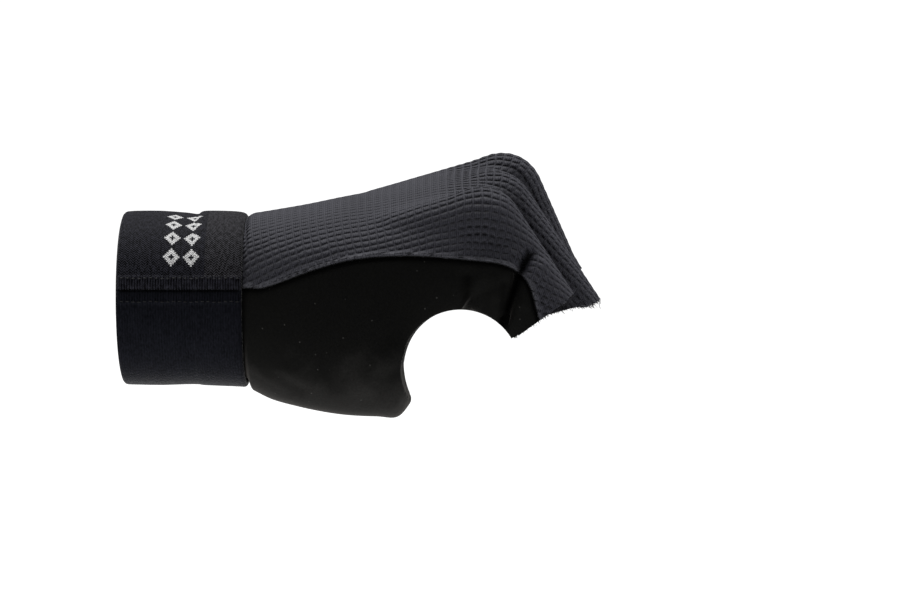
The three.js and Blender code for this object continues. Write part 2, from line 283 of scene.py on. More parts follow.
def hollow_form(inset):
    """The round hollow that the closed palm leaves, across the whole width."""
    middle = np.array([reach_x(hollow_at), 0, -hollow_drop * palm_drop])
    angle = -np.arange(160) * 2 * np.pi / 160
    radius = hollow_radius + inset
    rings = [
        middle + np.stack([np.cos(angle) * radius, angle * 0 + y, np.sin(angle) * radius], axis=1)
        for y in (-far_away, far_away)
    ]
    return shell("hollow_form", rings)


def set_in(value, start, full):
    share = np.clip((value - start) / (full - start), 0, 1)
    return share * share * (3 - 2 * share)


# Where the softening of the knuckles sets in: along the glove, before each knuckle, and upward.
soft_from, soft_past, soft_above = (50, 75), (-8, 6), (12, 20)


def soften_knuckles(form, voxel):
    """Melts the ridges behind the knuckles into the back, and leaves the stalls past the knuckles alone."""
    points = places(form)
    across = [row[0] * half_width for row in stalls]
    knuckle_x = np.interp(points[:, 1], across, [stall_line(row)[0][0] for row in stalls])
    weight = set_in(points[:, 0], *soft_from) * set_in(knuckle_x - points[:, 0], *soft_past)
    weight = weight * set_in(points[:, 2], *soft_above)
    group = form.vertex_groups.new(name="back")
    levels = 8
    for level in range(1, levels + 1):
        chosen = np.flatnonzero(np.round(weight * levels) == level)
        group.add(chosen.tolist(), level / levels, "REPLACE")
    steps = round(knuckle_softening / voxel**2)
    finish_with(form, "SMOOTH", factor=0.5, iterations=steps, vertex_group="back")
    form.vertex_groups.clear()


def worn_form(inset, voxel, softening):
    """The filled form, drawn in by inset, as one soft shell."""
    form = body_form(inset)
    rods = [part for row in stalls for part in stall_forms(row, inset)]
    past = open_past + raw_past if inset else raw_past
    for part in [*rods, *thumb_forms(inset, past)]:
        cut(form, part, "UNION")
        discard(part)
    hollow = hollow_form(inset)
    cut(form, hollow)
    discard(hollow)
    finish_with(form, "REMESH", mode="VOXEL", voxel_size=voxel * MM)
    finish_with(form, "SMOOTH", factor=0.5, iterations=round(softening / voxel**2))
    soften_knuckles(form, voxel)
    return form


def normals(piece):
    found = np.empty(len(piece.data.vertices) * 3)
    piece.data.vertices.foreach_get("normal", found)
    return found.reshape(-1, 3)


def push(piece, amount):
    """Moves each point out along its normal, by an amount in millimetres."""
    moved = (places(piece) + normals(piece) * amount[:, None]) * MM
    piece.data.vertices.foreach_set("co", moved.ravel())
    piece.data.update()


soft_crease = 2  # how far the creases between the parts are melted, in square millimetres
outer = worn_form(0, outer_voxel, soft_crease)
inner = worn_form(cloth_wall, inner_voxel, soft_crease)

# Folds of the worn cloth on the little finger's side. Each is a line in the side view, with its points
# as x and z in millimetres, the width of its flank, and its depth, which is less than nothing for a ridge.
side_folds = [
    ([(114.5, 11.5), (111.9, 5.7), (110.3, 1.3), (106.5, -9.5)], 1.35, 3.4),
    ([(118.0, 8.5), (115.6, 3.0), (113.9, -2.0)], 2.2, -0.8),
    ([(109.5, 11.0), (107.6, 5.5), (106.0, 0.5)], 1.9, -0.8),
    ([(97.5, 5.0), (97.2, -9.5)], 2.1, 1.0),
    ([(100.9, 4.5), (100.9, -9.5)], 1.6, -0.35),
    ([(104.3, 4.5), (103.9, -9.5)], 1.5, -0.5),
    ([(107.6, 3.5), (106.6, -9.5)], 1.1, 0.7),
    ([(93.0, 4.5), (92.6, -9.5)], 2.0, -0.3),
    ([(77.4, -15.5), (66.9, -25.0)], 3.4, -1.4),
    ([(83.0, -26.5), (76.5, -32.5)], 2.6, -1.1),
    ([(44.0, -22.0), (51.0, -26.5)], 1.6, 0.35),
    ([(47.0, -20.0), (55.0, -24.5)], 1.8, -0.3),
]
fold_reach = (0.3, 0.85)  # shares of the half width, where the folds set in
# The grooves between neighbouring stalls, which the softening fills, are drawn in again.
groove_depth, groove_width, groove_length, groove_lead = 2.2, 2.4, 14.0, 4
# Painted shade: the creases and the grooves between the stalls are darkened in the colour, over a band
# narrower than each fold and, in the grooves, setting in past the knuckles.
crease_narrowing, groove_shade, groove_shade_start = 0.75, 0.85, 9


def line_distance(points, line):
    """How far points lie from a line of straight stretches, with its rounded ends."""
    line = np.array(line, float)
    nearest = np.full(len(points), np.inf)
    for a, b in zip(line[:-1], line[1:]):
        way = b - a
        share = np.clip(((points - a) @ way) / (way @ way), 0, 1)
        nearest = np.minimum(nearest, np.linalg.norm(points - a - share[:, None] * way, axis=1))
    return nearest


def fold_rise(piece):
    points = places(piece)
    side_view = points[:, [0, 2]]
    rise = np.zeros(len(points))
    for line, width, depth in side_folds:
        rise -= depth * np.exp(-((line_distance(side_view, line) / width) ** 2))
    facing = set_in(-normals(piece)[:, 1], 0.25, 0.75)
    return rise * facing * set_in(-points[:, 1] / half_width, *fold_reach)


def crease_shade(piece):
    """How much painted shade each point gets, from 0 to 1: deep in a crease, and in the grooves between the
    stalls.
    """
    points = places(piece)
    side_view = points[:, [0, 2]]
    shade = np.zeros(len(points))
    for line, width, depth in side_folds:
        deep = min(max(depth / 2, 0), 1)
        away = line_distance(side_view, line) / (width * crease_narrowing)
        shade = np.maximum(shade, deep * np.exp(-(away**2)))
    shade *= set_in(-points[:, 1] / half_width, *fold_reach)
    for near, far in zip(stalls[:-1], stalls[1:]):
        start = (stall_line(near)[0][0] + stall_line(far)[0][0]) / 2
        off_middle = points[:, 1] - (near[0] + far[0]) / 2 * half_width
        groove = set_in(points[:, 0], start, start + groove_shade_start)
        shade = np.maximum(shade, groove_shade * groove * np.exp(-((off_middle / groove_width) ** 2)))
    return shade


def stall_grooves(piece):
    points = places(piece)
    rise = np.zeros(len(points))
    for near, far in zip(stalls[:-1], stalls[1:]):
        _, _, _, to_back = stall_line(near)
        start = (stall_line(near)[0][0] + stall_line(far)[0][0]) / 2 - groove_lead
        middle = (near[0] + far[0]) / 2 * half_width
        along = set_in(points[:, 0], start, start + groove_length)
        along = along * set_in(normals(piece) @ to_back, 0.1, 0.5)
        rise -= groove_depth * along * np.exp(-(((points[:, 1] - middle) / groove_width) ** 2))
    return rise


for form in (outer, inner):
    push(form, fold_rise(form) + stall_grooves(form))

# Seam lines. The palm's panel runs up the little finger's side, and its seam then follows the side of each
# stall. Rows: at or along, and lift or towards the stall's back.
side_seam = [
    (-0.3, 0.05), (0, 0.052), (0.09, 0.057), (0.26, 0.167),
    (0.416, 0.24), (0.61, 0.26), (0.818, 0.233), (0.948, 0.198),
]
stall_seam = [(0.66, 0.06), (1, -0.08), (1.6, -0.33)]
thumb_seam_reach = 2.5
seam_near = 4.0


def palm_side(drop):
    """All that lies on the palm's side of the side seam, and drop further down."""

    def line(y, row):
        knuckle, end, _, to_back = stall_line(row)
        top = [(reach_x(at), lift * back_rise - drop) for at, lift in side_seam]
        for along, share in stall_seam:
            place = knuckle + (end - knuckle) * along + to_back * (share * finger_depth - drop)
            top.append((place[0], place[2]))
        top = smooth_rows(top, 4)
        outline = [(top[0][0], -far_away), *top, (top[-1][0], -far_away)]
        return np.array([(x, y, z) for x, z in outline])

    lines = [line(row[0] * half_width, row) for row in stalls]
    return shell("palm_side", [line(-far_away, stalls[0]), *lines, line(far_away, stalls[-1])])


def copied(piece, name):
    copy = piece.copy()
    copy.data = piece.data.copy()
    copy.name = name
    bpy.context.scene.collection.objects.link(copy)
    return copy


def shell_tree(piece):
    """A search tree over an object's faces, in millimetres."""
    points = places(piece)
    faces = [tuple(face.vertices) for face in piece.data.polygons]
    return BVHTree.FromPolygons(points.tolist(), faces)


def distance_to(tree, points, reach):
    found = np.full(len(points), float(reach))
    for i, point in enumerate(points):
        hit = tree.find_nearest(point, reach)
        if hit[0] is not None:
            found[i] = hit[3]
    return found


# The thumb stall's seam goes round its tube, a little outside the tube's own cloth.
palm_region = palm_side(0)
thumb_region, thumb_end = thumb_forms(-thumb_seam_reach, open_past + raw_past)
cut(thumb_region, thumb_end, "UNION")
discard(thumb_end)
seam_tree, thumb_tree = shell_tree(palm_region), shell_tree(thumb_region)
outer_points = places(outer)


def seam_distance(points):
    return np.minimum(*[distance_to(tree, points, seam_near) for tree in (seam_tree, thumb_tree)])


seam_away = seam_distance(outer_points)
roll_depth, roll_width = 0.5, 0.9
push(outer, -roll_depth * np.exp(-((seam_away / roll_width) ** 2)))

# The raw edges: each stall's end is cut and not hemmed, so its rim is a little uneven. On the fingers it is
# also cut slanting. A plug in the hollow form trims the cloth there.
raw_random = random.Random(7)


def raw_wave(count):
    """How uneven a cut edge is at evenly spaced angles, in millimetres."""
    angle = np.arange(count) * 2 * np.pi / count
    wave = np.zeros(count)
    for turns, size in ((2, 0.25), (5, 0.12), (11, 0.08), (23, 0.08)):
        wave += size * np.sin(turns * angle + raw_random.uniform(0, 6.28))
    return angle, wave


def across_ways(along):
    """The two ways square to a tube's own: to its side and to its back."""
    side = np.cross((0, 0, 1), along)
    side = side / np.linalg.norm(side)
    return side, np.cross(along, side)


def raw_edge(end, along, wide, deep, longer=0):
    """The raw edge of a tube of cloth: its points, and the plug that trims the tube there."""
    side, up = across_ways(along)
    angle, wave = raw_wave(120)
    plug_wide, plug_deep, plug_length, plug_power = wide + 1.6, deep + 3.5, 24, 0.25

    def ring(across, upward, reach=None):
        if reach is None:
            reach = wave - longer * (0.5 - 0.5 * np.clip(upward / deep, -1, 1))
        return end + np.outer(across, side) + np.outer(upward, up) + np.outer(reach, along)

    across = rounded_power(np.cos(angle), plug_power) * plug_wide
    upward = rounded_power(np.sin(angle), plug_power) * plug_deep
    rings = [ring(across * share, upward * share) for share in (0.05, 0.35, 0.65, 1)]
    rings.append(ring(across, upward, wave * 0 + plug_length))
    wall = cloth_wall / 2
    edge = ring(np.cos(angle) * (wide - wall), np.sin(angle) * (deep - wall))
    return edge, shell("raw_end", rings)


edges = []
for row in stalls:
    _, end, along, _ = stall_line(row)
    end_size = stall_half_width * stall_taper, row[6] * finger_depth / 2
    edges.append((*raw_edge(end, along, *end_size, row[7]), along))
thumb_way = (thumb_points[2] - thumb_points[1]) / np.linalg.norm(thumb_points[2] - thumb_points[1])
thumb_size = thumb_joints[2][3] * thumb_depth / 2
edges.append((*raw_edge(thumb_points[2], thumb_way, thumb_size, thumb_size), thumb_way))
for _, plug, _ in edges:
    cut(inner, plug, "UNION")
    discard(plug)


# The palm panel: black microfibre suede over the palm, round the little finger's side and up to the side
# seam. It is cut to shape, sewn to the knit with the edges turned in, and left raw at the stalls.


def panel_from(form, name, keep=None, drop=None):
    """One panel: what a copy of the filled form keeps of its region, less the hollow with its raw ends."""
    piece = copied(form, name)
    if keep is not None:
        cut(piece, keep, "INTERSECT")
    if drop is not None:
        cut(piece, drop)
    return cut(piece, inner)


def linear(code):
    """An sRGB hex colour as the linear colour that a shader takes."""
    parts = [int(code[i : i + 2], 16) / 255 for i in (1, 3, 5)]
    return [(c / 12.92 if c <= 0.04045 else ((c + 0.055) / 1.055) ** 2.4) for c in parts] + [1]


def set_inputs(tree, node, inputs):
    """Sets or links a node's inputs by name or number. Text is an sRGB hex colour, and another node stands
    for its first output in use."""
    for key, value in inputs.items():
        if isinstance(value, str):
            value = linear(value)
        if isinstance(value, bpy.types.Node):
            value = next(output for output in value.outputs if output.enabled)
        if isinstance(value, bpy.types.NodeSocket):
            tree.links.new(value, node.inputs[key])
        else:
            node.inputs[key].default_value = value


def add_node(tree, kind, inputs=(), **settings):
    """Adds a shader node with its settings and inputs."""
    node = tree.nodes.new("ShaderNode" + kind)
    for name, value in settings.items():
        setattr(node, name, value)
    set_inputs(tree, node, dict(inputs))
    return node


def keep(piece, name, values):
    """Keeps a value for each of a piece's points, for its material."""
    piece.data.attributes.new(name, "FLOAT", "POINT").data.foreach_set("value", values)


def keep_shades(piece):
    """Keeps each point's distance from the nearest seam, in metres, and how much painted shade it gets in the
    creases and grooves.
    """
    keep(piece, "seam_distance", seam_distance(places(piece)) * MM)
    keep(piece, "crease_shade", crease_shade(piece))


def darken_creases(tree, colour, seam_band, dark):
    """Darkens a colour in the creases and along the seams, where hardly any light gets in."""
    away = add_node(tree, "Attribute", attribute_name="seam_distance").outputs["Fac"]
    seam_line = add_node(tree, "MapRange", {0: away, 1: seam_band[0], 2: seam_band[1], 3: 1.0, 4: 0.0})
    creased = add_node(tree, "Attribute", attribute_name="crease_shade").outputs["Fac"]
    unlit = add_node(tree, "Math", {0: seam_line, 1: creased}, operation="MAXIMUM")
    return add_node(tree, "Mix", {0: unlit, 6: colour, 7: dark}, data_type="RGBA")


def new_material(name):
    material = bpy.data.materials.new(name)
    material.use_nodes = True
    return material, material.node_tree, material.node_tree.nodes["Principled BSDF"]


def dress(piece, material, slot, *nodes):
    """Gives a piece its material, and ties it to the frame."""
    piece.data.materials.clear()
    piece.data.materials.append(material)
    pick(piece)
    bpy.ops.object.shade_smooth_by_angle(angle=math.radians(50))
    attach(piece, "root")
    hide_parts(*nodes)


palm_panel = panel_from(outer, "palm_suede_panel", keep=palm_region, drop=thumb_region)
keep_shades(palm_panel)

# The suede is microfibre, brushed to a nap and dyed black: matt, and it swallows the light but for a faint
# sheen along its edges. A real nap is finer than this grain, which is as coarse as it needs to be to show.
nap_grain, cloud_size, nap_height = 0.0006, 0.009, 0.00008
suede, tree, shader = new_material("microfibre_suede_black")
place = add_node(tree, "TexCoord").outputs["Object"]
nap = add_node(tree, "TexNoise", {"Vector": place, "Scale": 1 / nap_grain, "Detail": 3.0})
cloud = add_node(tree, "TexNoise", {"Vector": place, "Scale": 1 / cloud_size, "Detail": 4.0})
tone = add_node(tree, "Mix", {0: cloud, 6: "#0a0a0a", 7: "#131312"}, data_type="RGBA")
speck = add_node(tree, "Mix", {0: nap, 6: tone, 7: "#181817"}, data_type="RGBA")
place_axes = add_node(tree, "SeparateXYZ", {0: place})
cloud_z = add_node(tree, "Math", {0: cloud, 1: 0.024, 2: place_axes.outputs[2]}, operation="MULTIPLY_ADD")
# Painted light: the heel of the palm, lower down, is painted greyer, for the light that the floor throws up
# onto the nap.
bounce_light_share = add_node(tree, "MapRange", {0: cloud_z, 1: -0.003, 2: -0.017}, interpolation_type="SMOOTHSTEP")
painted_bounce_light = add_node(tree, "Mix", {0: nap, 6: "#1c1c1b", 7: "#2f2e2d"}, data_type="RGBA")
nap_and_bounce_light = add_node(tree, "Mix", {0: bounce_light_share, 6: speck, 7: painted_bounce_light}, data_type="RGBA")
# A few specks of lint cling to the nap, about 3 mm apart and each about half a millimetre across.
lint_spacing, lint_strength = 0.0034, 0.3
lint_place = add_node(tree, "TexVoronoi", {"Vector": place, "Scale": 1 / lint_spacing})
lint = add_node(tree, "MapRange", {0: lint_place, 1: 0.04, 2: 0.085, 3: lint_strength, 4: 0.0})
linted = add_node(tree, "Mix", {0: lint, 6: nap_and_bounce_light, 7: "#6c6b68"}, data_type="RGBA")
sunk = darken_creases(tree, linted, (0.0, 0.0011), "#010101")
fuzz = add_node(tree, "Bump", {"Height": nap, "Strength": 0.6, "Distance": nap_height})
suede_surface = {"Base Color": sunk, "Normal": fuzz, "Roughness": 0.95, "Specular IOR Level": 0.03}
suede_sheen = {"Sheen Weight": 0.3, "Sheen Roughness": 0.25, "Sheen Tint": "#b0aba6"}
set_inputs(tree, shader, {**suede_surface, **suede_sheen})
dress(palm_panel, suede, "palm_suede", "palm_panel")

# The thumb stall: a short tube of the same suede, sewn into the palm's side.
thumb_stall = panel_from(outer, "thumb_suede_stall", keep=thumb_region)
keep_shades(thumb_stall)
dress(thumb_stall, suede, "palm_suede", "thumb_stall")

# The back panel: a dimpled knit over the back and the outer halves of the four stalls. Its pattern lies on
# the flat cloth, so a coarse copy of the panel is laid flat first, and the dimples follow that.
pattern_voxel = 2.0
pattern_margin = 4.0
pattern = worn_form(0, pattern_voxel, soft_crease)


def inside(tree, point):
    """Whether a point lies in a closed form: a line straight up leaves it an odd number of times."""
    crossings = 0
    start = Vector(point)
    while True:
        hit = tree.ray_cast(start, Vector((0, 0, 1)))
        if hit[0] is None:
            return crossings % 2 == 1
        crossings += 1
        start = hit[0] + Vector((0, 0, 0.01))


pattern_limit = palm_side(pattern_margin)
lower_tree = shell_tree(pattern_limit)
shape = bmesh.new()
shape.from_mesh(pattern.data)
pattern_start, pattern_past = cuff_length - tuck_length + 2, 2
ends = [(stall_line(row)[1], stall_line(row)[2], row[0] * half_width) for row in stalls]


def off_pattern(face):
    """Whether a face lies outside the back panel and the margin that its pattern has around it."""
    middle = face.calc_center_median() / MM
    if middle.x < pattern_start:
        return True
    if inside(lower_tree, middle) or inside(thumb_tree, middle):
        return True
    for end, along, across in ends:
        past = (np.array(middle) - end) @ along
        if abs(middle.y - across) < half_width / 4 and past > pattern_past:
            return True
    return False


bmesh.ops.delete(shape, geom=[face for face in shape.faces if off_pattern(face)], context="FACES")
# Only the largest stretch of connected faces is kept.
islands = []
todo = set(shape.faces)
while todo:
    heap = [todo.pop()]
    island = []
    while heap:
        face = heap.pop()
        island.append(face)
        for edge in face.edges:
            for other in edge.link_faces:
                if other in todo:
                    todo.remove(other)
                    heap.append(other)
    islands.append(island)
islands.sort(key=len)
for island in islands[:-1]:
    bmesh.ops.delete(shape, geom=island, context="FACES")
bmesh.ops.triangulate(shape, faces=shape.faces)
shape.to_mesh(pattern.data)
shape.free()
pick(pattern)
bpy.ops.object.mode_set(mode="EDIT")
bpy.ops.mesh.select_all(action="SELECT")
bpy.ops.uv.unwrap(method="MINIMUM_STRETCH", iterations=30, margin=0)
bpy.ops.object.mode_set(mode="OBJECT")


def corner_values(piece):
    """The points and the flat places of a triangulated object's corners."""
    mesh = piece.data
    corners = np.empty(len(mesh.loops), int)
    mesh.loops.foreach_get("vertex_index", corners)
    flat = np.empty(len(mesh.loops) * 2)
    mesh.uv_layers[0].data.foreach_get("uv", flat)
    return places(piece)[corners].reshape(-1, 3, 3), flat.reshape(-1, 3, 2)


# The flat pattern gets the cloth's real size, and is turned so that its rows run along the glove.
solid_corners, flat_corners = corner_values(pattern)
solid_sides = solid_corners[:, 1:] - solid_corners[:, :1]
flat_sides = flat_corners[:, 1:] - flat_corners[:, :1]
solid_area = np.linalg.norm(np.cross(solid_sides[:, 0], solid_sides[:, 1]), axis=1)
flat_area = np.abs(flat_sides[:, 0, 0] * flat_sides[:, 1, 1] - flat_sides[:, 0, 1] * flat_sides[:, 1, 0])
flat_corners = flat_corners * np.median(np.sqrt(solid_area / flat_area))
middles, flat_middles = solid_corners.mean(1), flat_corners.mean(1)
on_back = (middles[:, 2] > back_rise / 2) & (middles[:, 0] < reach_x(0.7))
spread = middles[on_back][:, :2] - middles[on_back][:, :2].mean(0)
flat_spread = flat_middles[on_back] - flat_middles[on_back].mean(0)
left, _, right = np.linalg.svd(spread.T @ flat_spread)
flat_corners = flat_corners @ (left @ right).T
pattern_tree = BVHTree.FromPolygons(
    solid_corners.reshape(-1, 3).tolist(), np.arange(len(solid_corners) * 3).reshape(-1, 3).tolist()
)


def cloth_places(points):
    """Where points of the worn panel lie on its flat pattern, in millimetres."""
    found = [pattern_tree.find_nearest(point) for point in points]
    face = np.array([hit[2] for hit in found])
    place = np.array([tuple(hit[0]) for hit in found])
    a, b, c = [solid_corners[face, i] for i in range(3)]
    first, second, way = b - a, c - a, place - a
    ff, fs, ss = (first**2).sum(1), (first * second).sum(1), (second**2).sum(1)
    fw, sw = (first * way).sum(1), (second * way).sum(1)
    scale = ff * ss - fs * fs
    share_b = (ss * fw - fs * sw) / scale
    share_c = (ff * sw - fs * fw) / scale
    shares = np.stack([1 - share_b - share_c, share_b, share_c], axis=1)
    return (flat_corners[face] * shares[:, :, None]).sum(1)


def set_uv(piece, flat):
    """Keeps each point's flat place, in metres, as the piece's UV map."""
    mesh = piece.data
    layer = mesh.uv_layers.new(name="cloth")
    corners = np.empty(len(mesh.loops), int)
    mesh.loops.foreach_get("vertex_index", corners)
    layer.data.foreach_set("uv", (flat[corners] * MM).ravel())


# The knit's cells are small pillows in straight rows, with a dip between them, which the material darkens
# with painted shadow. The relief of the mesh is low, and the shader's bump draws the rest. The knit's edge
# rolls over at the seams.
dimple_along, dimple_around = 2.3, 1.98
pillow_rise, pillow_edge = 0.15, 1.5
hem_rise, hem_at, hem_width = 1.0, 0.9, 0.65
knit = copied(outer, "knit_form")
flat = cloth_places(outer_points)
pillow = np.sin(np.pi * flat[:, 0] / dimple_along) * np.sin(np.pi * flat[:, 1] / dimple_around)
pillow = np.abs(pillow) ** pillow_edge
hem = hem_rise * np.exp(-(((seam_away - hem_at) / hem_width) ** 2))
stretched_relief, knuckle_share, knuckle_reach = 0.3, 0.45, reach_x(0.85)


def relief_share(piece):
    """The back's knit is drawn tight, so its cells stand out less there than at the side and the stalls."""
    past_knuckles = set_in(places(piece)[:, 0], knuckle_reach - 14, knuckle_reach)[:, None]
    to_back = stall_line(stalls[1])[3]
    backward = (1 - past_knuckles) * np.array([0, 0, 1.0]) + past_knuckles * to_back
    tight = set_in((normals(piece) * backward).sum(1), 0.45, 0.9) * (1 - knuckle_share * past_knuckles[:, 0])
    return 1 - (1 - stretched_relief) * tight


push(knit, pillow_rise * (pillow - 0.5) * set_in(seam_away, 0.2, 1.2) * relief_share(outer) + hem)

back_panel = panel_from(knit, "mesh_knit_back", drop=palm_region)
cut(back_panel, thumb_region)
set_uv(back_panel, cloth_places(places(back_panel)))
keep_shades(back_panel)
keep(back_panel, "relief_share", relief_share(back_panel))


def thread_wave(tree, place, pitch):
    """A cosine that comes round once in each pitch: the rise and fall of threads that lie side by side."""
    turn = add_node(tree, "Math", {0: place, 1: 2 * math.pi / pitch}, operation="MULTIPLY")
    return add_node(tree, "Math", {0: turn}, operation="COSINE")


# The knit is charcoal polyester: rows of soft cells with a short dark dash of painted shadow between them,
# and the fine ribs of its yarn over all. It is paler than the suede and has next to no gloss. The fine ribs
# can't be counted in the photograph: a quarter and a fifth of a cell is a guess, as coarse as they need to be
# to show.
knit_depth, sway_size, sway, knit_cloud = 0.00048, 0.004, 0.0011, 0.012
dip_shade_strength, course_share, yarn_contrast, yarn_relief = 0.6, 0.4, 0.32, 0.12
knit_cloth, tree, shader = new_material("polyester_dimple_knit_charcoal")
cloth = add_node(tree, "UVMap", uv_map="cloth").outputs[0]
place = add_node(tree, "TexCoord").outputs["Object"]
uneven = add_node(tree, "TexNoise", {"Vector": place, "Scale": 1 / sway_size, "Detail": 2.0})
centred = add_node(
    tree, "VectorMath", {0: uneven.outputs["Color"], 1: (0.5, 0.5, 0.5)}, operation="SUBTRACT"
)
swayed = add_node(tree, "VectorMath", {0: centred, 1: (sway, sway, 0), 2: cloth}, operation="MULTIPLY_ADD")
half_turns = (math.pi / (dimple_along * MM), math.pi / (dimple_around * MM), 0)
turns = add_node(tree, "VectorMath", {0: swayed, 1: half_turns}, operation="MULTIPLY")
waves = add_node(tree, "VectorMath", {0: turns}, operation="SINE")
wave_axes = add_node(tree, "SeparateXYZ", {0: waves})
column = add_node(tree, "Math", {0: wave_axes.outputs[0]}, operation="ABSOLUTE")
row_wave = add_node(tree, "Math", {0: wave_axes.outputs[1]}, operation="ABSOLUTE")
share = add_node(tree, "Attribute", attribute_name="relief_share").outputs["Fac"]
away = add_node(tree, "Attribute", attribute_name="seam_distance").outputs["Fac"]
# The dash lies where a row ends, in the middle of a column, and the valley between the columns is shallow.
# Both are dips in the bump and painted shadow in the colour.
row_end = add_node(
    tree, "MapRange", {0: row_wave, 1: 0.05, 2: 0.75, 3: 1.0, 4: 0.0}, interpolation_type="SMOOTHSTEP"
)
dash_part = add_node(
    tree, "MapRange", {0: column, 1: 0.2, 2: 0.95, 3: 0.12, 4: 1.0}, interpolation_type="SMOOTHSTEP"
)
dash = add_node(tree, "Math", {0: row_end, 1: dash_part}, operation="MULTIPLY")
valley = add_node(
    tree, "MapRange", {0: column, 1: 0.0, 2: 0.9, 3: 0.14, 4: 0.0}, interpolation_type="SMOOTHSTEP"
)
deepest = add_node(tree, "Math", {0: dash, 1: valley}, operation="MAXIMUM")
dip_shade_amount = add_node(tree, "Math", {0: deepest, 1: share}, operation="MULTIPLY")
dip = add_node(tree, "Math", {0: dip_shade_amount, 1: dip_shade_strength}, operation="MULTIPLY")
axes = add_node(tree, "SeparateXYZ", {0: cloth})
wale_pitch, course_pitch = dimple_along / 4, dimple_around / 5
wale = thread_wave(tree, axes.outputs[0], wale_pitch * MM)
course = thread_wave(tree, axes.outputs[1], course_pitch * MM)
yarn = add_node(tree, "Math", {0: course, 1: course_share, 2: wale}, operation="MULTIPLY_ADD")
yarn_tone = add_node(tree, "Math", {0: yarn, 1: yarn_contrast, 2: 0.5}, operation="MULTIPLY_ADD")
cloud = add_node(tree, "TexNoise", {"Vector": place, "Scale": 1 / knit_cloud, "Detail": 3.0})
shade = add_node(tree, "Mix", {0: 0.5, 2: yarn_tone, 3: cloud}, data_type="FLOAT")
tone = add_node(tree, "Mix", {0: shade, 6: "#25252b", 7: "#4b4b53"}, data_type="RGBA")
# Painted shadow: the knit's colour is darkened in the dashes and the valleys between its cells.
dark = add_node(tree, "Mix", {0: dip, 6: tone, 7: "#0c0c0e"}, data_type="RGBA")
hem_tone = add_node(tree, "MapRange", {0: away, 1: 0.0007, 2: 0.0017, 3: 1.0, 4: 0.0})
hemmed = add_node(tree, "Mix", {0: hem_tone, 6: dark, 7: "#4c4c52"}, data_type="RGBA")
sunk = darken_creases(tree, hemmed, (0.0002, 0.0006), "#020202")
both_waves = add_node(tree, "Math", {0: column, 1: row_wave}, operation="MULTIPLY")
dome = add_node(tree, "MapRange", {0: both_waves, 1: 0.0, 2: 1.0}, interpolation_type="SMOOTHSTEP")
risen = add_node(tree, "Math", {0: dome, 1: dash}, operation="SUBTRACT")
relief = add_node(tree, "Math", {0: risen, 1: share}, operation="MULTIPLY")
height = add_node(tree, "Math", {0: yarn, 1: yarn_relief, 2: relief}, operation="MULTIPLY_ADD")
weave = add_node(tree, "Bump", {"Height": height, "Strength": 1.0, "Distance": knit_depth})
knit_surface = {"Base Color": sunk, "Normal": weave, "Roughness": 0.7, "Specular IOR Level": 0.12}
knit_sheen = {"Sheen Weight": 0.08, "Sheen Roughness": 0.35, "Sheen Tint": "#c8c8d0"}
set_inputs(tree, shader, {**knit_surface, **knit_sheen})
dress(back_panel, knit_cloth, "mesh_knit", "back_panel")


# Frayed yarn ends: the raw edges of the stalls are cut, not hemmed, so short fibres stand out of them, and a
# few longer ones hang loose.
thread_taper = 0.4  # how thin a thread is at its ends


def strands(name, paths, sizes, sides=6):
    """Thin round threads, one along each path of points, narrowed at both ends."""
    points, faces = [], []
    angle = np.arange(sides) * 2 * np.pi / sides
    around = np.arange(sides)
    step = np.roll(around, -1)
    for path, size in zip(paths, sizes):
        path = np.array(path, float)
        way = np.gradient(path, axis=0)
        way /= np.linalg.norm(way, axis=1)[:, None]
        side = np.cross(way, (0.31, 0.17, 0.93))
        side /= np.linalg.norm(side, axis=1)[:, None]
        up = np.cross(way, side)
        taper = np.ones(len(path)) * size
        taper[[0, -1]] = size * thread_taper
        start = sum(len(ring) for ring in points)
        for i in range(len(path)):
            spread = np.outer(np.cos(angle), side[i]) + np.outer(np.sin(angle), up[i])
            points.append(path[i] + spread * taper[i])
        for r in range(len(path) - 1):
            a = start + r * sides
            faces += np.stack([a + around, a + step, a + sides + step, a + sides + around], axis=1).tolist()
        faces += [(start + around[::-1]).tolist(), (start + (len(path) - 1) * sides + around).tolist()]
    mesh = bpy.data.meshes.new(name)
    mesh.from_pydata((np.concatenate(points) * MM).tolist(), [], faces)
    piece = bpy.data.objects.new(name, mesh)
    bpy.context.scene.collection.objects.link(piece)
    return piece


def dress_extra(piece, material):
    """Dresses a piece that stands for no solid of its own."""
    piece.data.materials.append(material)
    pick(piece)
    bpy.ops.object.shade_smooth()
    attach(piece, "root")


fray = random.Random(11)
fibre_short, fibre_more, fibre_sink, fibre_drift = 0.15, 0.6, 0.3, 0.6
fibre_size = (0.04, 0.065)
loose_length, loose_size, loose_curl, loose_way = 2.6, 0.07, 0.5, np.array([0.5, -0.2, -0.85])
paths, sizes = [], []
for edge, _, along in edges[:4]:
    middle = edge.mean(0)
    for i in range(len(edge)):
        for _ in range(1 + i % 2):
            start = edge[i] + (edge[(i + 1) % len(edge)] - edge[i]) * fray.random()
            away = (start - middle) / np.linalg.norm(start - middle)
            length = fibre_short + fibre_more * fray.random() ** 2
            drift = np.array([fray.uniform(-fibre_drift, fibre_drift) for _ in range(3)])
            way = along + away * fray.uniform(-0.5, 0.5) + drift
            start = start + away * fray.uniform(-0.35, 0.4) - along * fibre_sink
            bend = start + way * (fibre_sink + length * 0.5) + drift * 0.1
            paths.append([start, start + way * fibre_sink, bend, start + way * (fibre_sink + length)])
            sizes.append(fray.uniform(*fibre_size))
